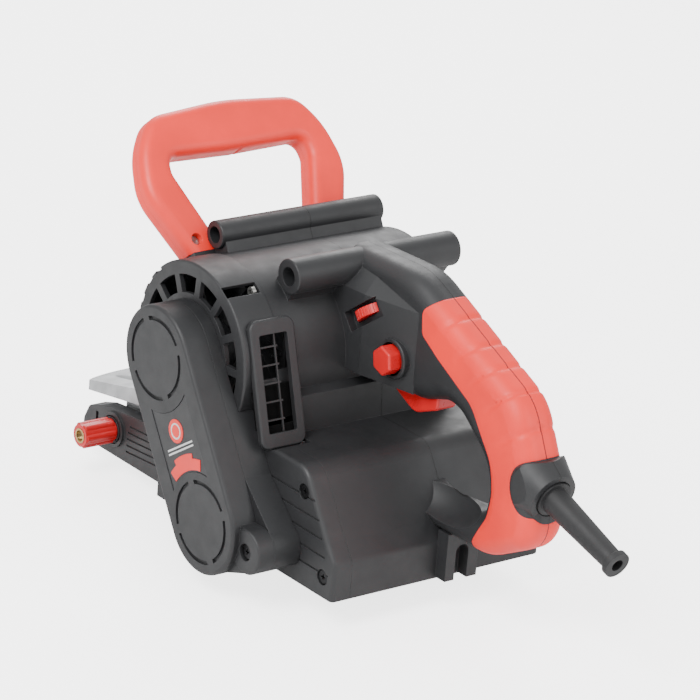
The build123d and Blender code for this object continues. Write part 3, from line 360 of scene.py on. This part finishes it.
def circle(s, radius, count=56):
    """A circle centred at s along the badge."""
    angles = (2 * math.pi * i / count for i in range(count))
    return [(s + radius * math.cos(a), radius * math.sin(a)) for a in angles]


def circle_band(s, outer, inner, count=56):
    """A ring as two half-ring outlines."""
    halves = []
    for start in (0, math.pi):
        angles = [start + math.pi * i / count for i in range(count + 1)]
        out = [(s + outer * math.cos(a), outer * math.sin(a)) for a in angles]
        halves.append(out + [(s + inner * math.cos(a), inner * math.sin(a)) for a in angles[::-1]])
    return halves


def bar(s, length, width):
    """A rectangle across the badge, width along it, centred at s."""
    low, high, half = s - width / 2, s + width / 2, length / 2
    return [(low, -half), (high, -half), (high, half), (low, half)]


EMBLEM_AT = 63              # mm along the badge from the spindle


def badge_decor():
    """Plain marks in place of a name: a disc with a ring, two bars and a blank ribbon."""
    decal("emblem_disc", [circle(EMBLEM_AT, 8.2)], DECAL_RED)
    decal("emblem_ring", circle_band(EMBLEM_AT, 5.6, 4.4), DECAL_PALE, 0.5)
    decal("emblem_bars", [bar(52.6, 31, 1.3), bar(49.9, 31, 1.3)], DECAL_PALE)
    ribbon = arc(35.2, -26, 26) + arc(43, 26, 14, 12) + arc(46.4, 14, -14) + arc(43, -14, -26, 12)
    decal("emblem_ribbon", [ribbon], DECAL_RED)


# ---- stage --------------------------------------------------------------------------------
CAMERA_AT = Vector((-1.5590, -1.9949, 1.0547))
CAMERA_RIGHT = Vector((0.7934, -0.6038, 0.0779))
CAMERA_UP = Vector((0.1555, 0.3246, 0.9330))
CAMERA_LENS = 199.3         # mm
SENSOR = 36.0               # mm
FLOOR_REACH = 6.0           # m
FLOOR_GLOW = 3.0
WORLD_STRENGTH = 1.0
LAMPS_AIM = (0, -0.1, 0.11)
LAMPS = (                   # name, position, size in m, power in W
    ("key", (-1.3, -0.5, 1.5), 0.9, 40),
    ("fill", (0.6, -1.9, 1.0), 1.4, 16),
    ("rim", (0.9, 1.2, 1.2), 1.0, 22),
)


def place_camera():
    data = bpy.data.cameras.new("camera")
    data.lens = CAMERA_LENS
    data.sensor_width = SENSOR
    camera = bpy.data.objects.new("camera", data)
    bpy.context.collection.objects.link(camera)
    right = CAMERA_RIGHT.normalized()
    back = right.cross(CAMERA_UP).normalized()
    up = back.cross(right)
    rotation = Matrix((right, up, back)).transposed()
    camera.matrix_world = Matrix.Translation(CAMERA_AT) @ rotation.to_4x4()
    bpy.context.scene.camera = camera


def lamp(name, at, target, size, power):
    data = bpy.data.lights.new(name, "AREA")
    data.size = size
    data.energy = power
    light = bpy.data.objects.new(name, data)
    light.location = at
    light.rotation_euler = (Vector(target) - Vector(at)).to_track_quat("-Z", "Y").to_euler()
    bpy.context.collection.objects.link(light)


def camera_glow(g, strength):
    """Extra brightness that only the camera sees, so that the floor reads as a white sweep."""
    path = g.tree.nodes.new("ShaderNodeLightPath")
    g.set("Emission Color", (1.0, 1.0, 1.0))
    g.set("Emission Strength", g.math("MULTIPLY", path.outputs["Is Camera Ray"], strength))


def pale_floor():
    low = CAD_BOX[0][2]
    mesh = bpy.data.meshes.new("floor")
    shape = bmesh.new()
    reach = FLOOR_REACH
    corners = [(-reach, -reach), (reach, -reach), (reach, reach), (-reach, reach)]
    shape.faces.new([shape.verts.new((x, y, low)) for x, y in corners])
    shape.to_mesh(mesh)
    shape.free()
    floor = bpy.data.objects.new("floor", mesh)
    bpy.context.collection.objects.link(floor)
    g = Graph("pale_floor")
    g.set("Base Color", g.mix(g.noise(3, 2), (0.90, 0.90, 0.90), (0.93, 0.93, 0.93)))
    g.set("Roughness", 0.7)
    camera_glow(g, FLOOR_GLOW)
    mesh.materials.append(g.material)


def light_stage():
    world = bpy.data.worlds.new("studio")
    world.use_nodes = True
    background = world.node_tree.nodes["Background"]
    background.inputs["Color"].default_value = (1, 1, 1, 1)
    background.inputs["Strength"].default_value = WORLD_STRENGTH
    bpy.context.scene.world = world
    for name, at, size, power in LAMPS:
        lamp(name, at, LAMPS_AIM, size, power)


dress_frame()
for grip in ("left_soft_grip", "right_soft_grip"):
    creased_grip(grip)
badge_decor()
pale_floor()
light_stage()
place_camera()
